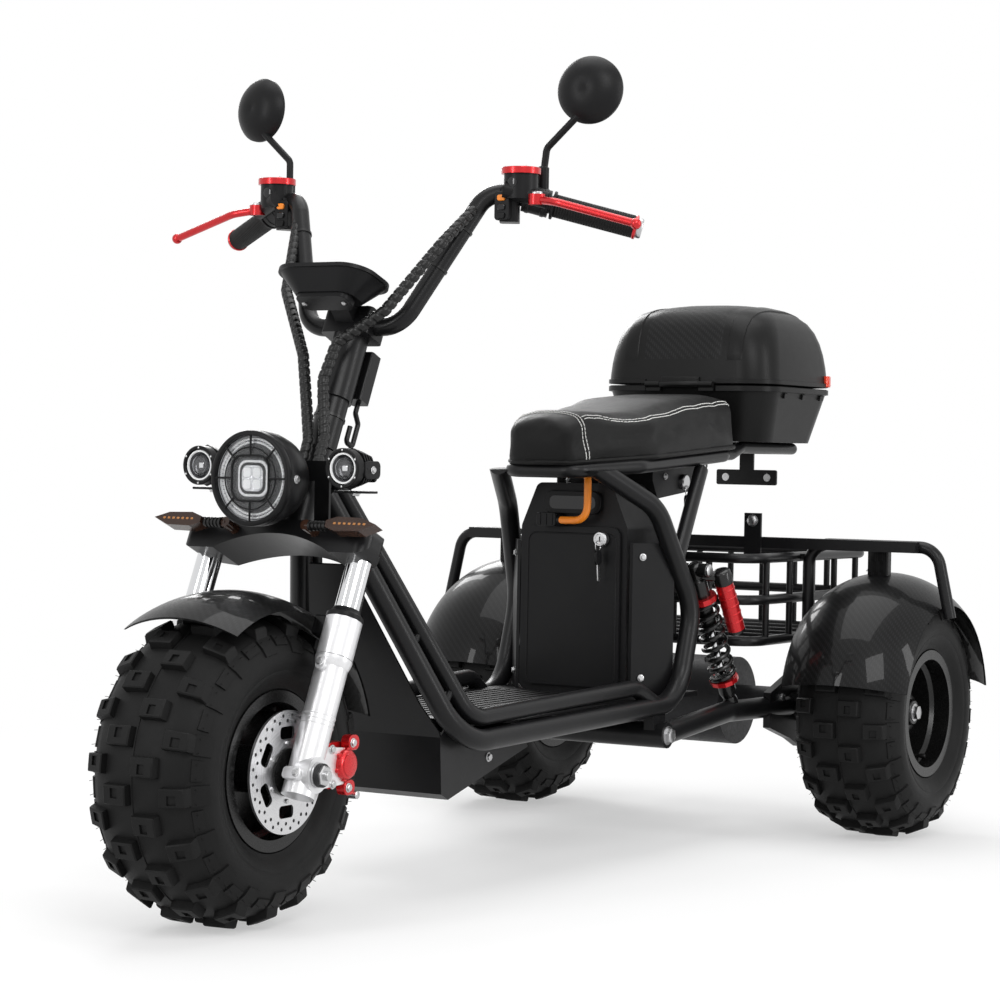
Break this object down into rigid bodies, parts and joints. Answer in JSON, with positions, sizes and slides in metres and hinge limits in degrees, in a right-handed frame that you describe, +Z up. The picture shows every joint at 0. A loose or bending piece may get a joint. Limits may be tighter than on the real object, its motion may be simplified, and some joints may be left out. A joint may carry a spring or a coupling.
{
  "type": "electric cargo tricycle",
  "caption": "Electric tricycle with balloon off-road tyres, high handlebar, step-through tube frame, padded saddle, lidded top case and a tube basket between its rear wheels.",
  "frame": {"origin": "on the ground under the middle of the machine", "axes": "+Z up, the front looks along -Y, the rider's left hand is on +X"},
  "size_m": [1.0774, 2.0042, 1.2922],
  "materials": {
    "frame_black": "satin black paint",
    "tyre_black": "matt rubber",
    "rim_black": "gloss black paint",
    "disc_steel": "ground steel",
    "axle_metal": "dark cast metal",
    "fork_silver": "bright silver",
    "chrome": "polished",
    "guard_gloss": "woven-look gloss",
    "grip_rubber": "ribbed rubber",
    "control_black": "matt black",
    "red_metal": "red anodised",
    "mirror_face": "mirror",
    "lamp_clear": "clear",
    "amber_smoke": "smoked amber",
    "seat_cover": "grained black",
    "shock_black": "gloss black",
    "case_black": "moulded black",
    "loom_black": "wrapped cable",
    "lead_orange": "orange cable",
    "reflector_red": "red reflector"
  },
  "bodies": {
    "chassis": {"head_tube": "frame_black", "down_tubes": "frame_black", "seat_ring": "frame_black", "side_hoops": "frame_black", "seat": "seat_cover", "footboard": "control_black", "skid_plate": "frame_black", "battery": "control_black", "frame_braces": "frame_black", "rear_arm": "frame_black", "axle_housing": "axle_metal", "shocks": "shock_black", "guard_hoops": "frame_black", "rear_guards": "guard_gloss", "cross_bar": "frame_black", "basket": "frame_black", "case_base": "case_black", "rack": "frame_black", "bay_panels": "control_black", "battery_lead": "lead_orange", "lock_box": "control_black", "shock_canisters": "red_metal"},
    "steering": {"fork_legs": "fork_silver", "stanchions": "chrome", "front_axle": "axle_metal", "fork_crown": "frame_black", "stem": "frame_black", "handlebar": "frame_black", "grips": "grip_rubber", "master_cylinders": "control_black", "levers": "red_metal", "mirrors": "control_black", "mirror_glass": "mirror_face", "display": "control_black", "lamp_bracket": "frame_black", "headlamp": "control_black", "lamp_lenses": "lamp_clear", "fog_lamps": "control_black", "indicators": "amber_smoke", "front_guard": "guard_gloss", "caliper": "red_metal", "wiring_looms": "loom_black", "brake_hose": "loom_black", "reservoir_caps": "red_metal"},
    "front_wheel": {"front_tyre": "tyre_black", "front_rim": "rim_black", "brake_disc": "disc_steel"},
    "rear_wheel_left": {"rear_tyre_left": "tyre_black", "rear_rim_left": "rim_black"},
    "rear_wheel_right": {"rear_tyre_right": "tyre_black", "rear_rim_right": "rim_black"},
    "case_lid": {"case_lid": "case_black", "case_reflector": "reflector_red"}
  },
  "joints": [
    {"name": "steering_turn", "type": "hinge", "parent": "chassis", "child": "steering", "pos_m": [0, -0.75847, 0.22109], "axis": [0, 0.4067, 0.9135], "range_deg": [-35, 35]},
    {"name": "front_wheel_spin", "type": "hinge", "parent": "steering", "child": "front_wheel", "pos_m": [0, -0.774, 0.228], "axis": [1, 0, 0], "continuous": true},
    {"name": "rear_wheel_left_spin", "type": "hinge", "parent": "chassis", "child": "rear_wheel_left", "pos_m": [0.39, 0.706, 0.228], "axis": [1, 0, 0], "continuous": true},
    {"name": "rear_wheel_right_spin", "type": "hinge", "parent": "chassis", "child": "rear_wheel_right", "pos_m": [-0.39, 0.706, 0.228], "axis": [1, 0, 0], "continuous": true},
    {"name": "case_lid_hinge", "type": "hinge", "parent": "chassis", "child": "case_lid", "pos_m": [0, 0.616, 0.8215], "axis": [1, 0, 0], "range_deg": [0, 80]}
  ]
}
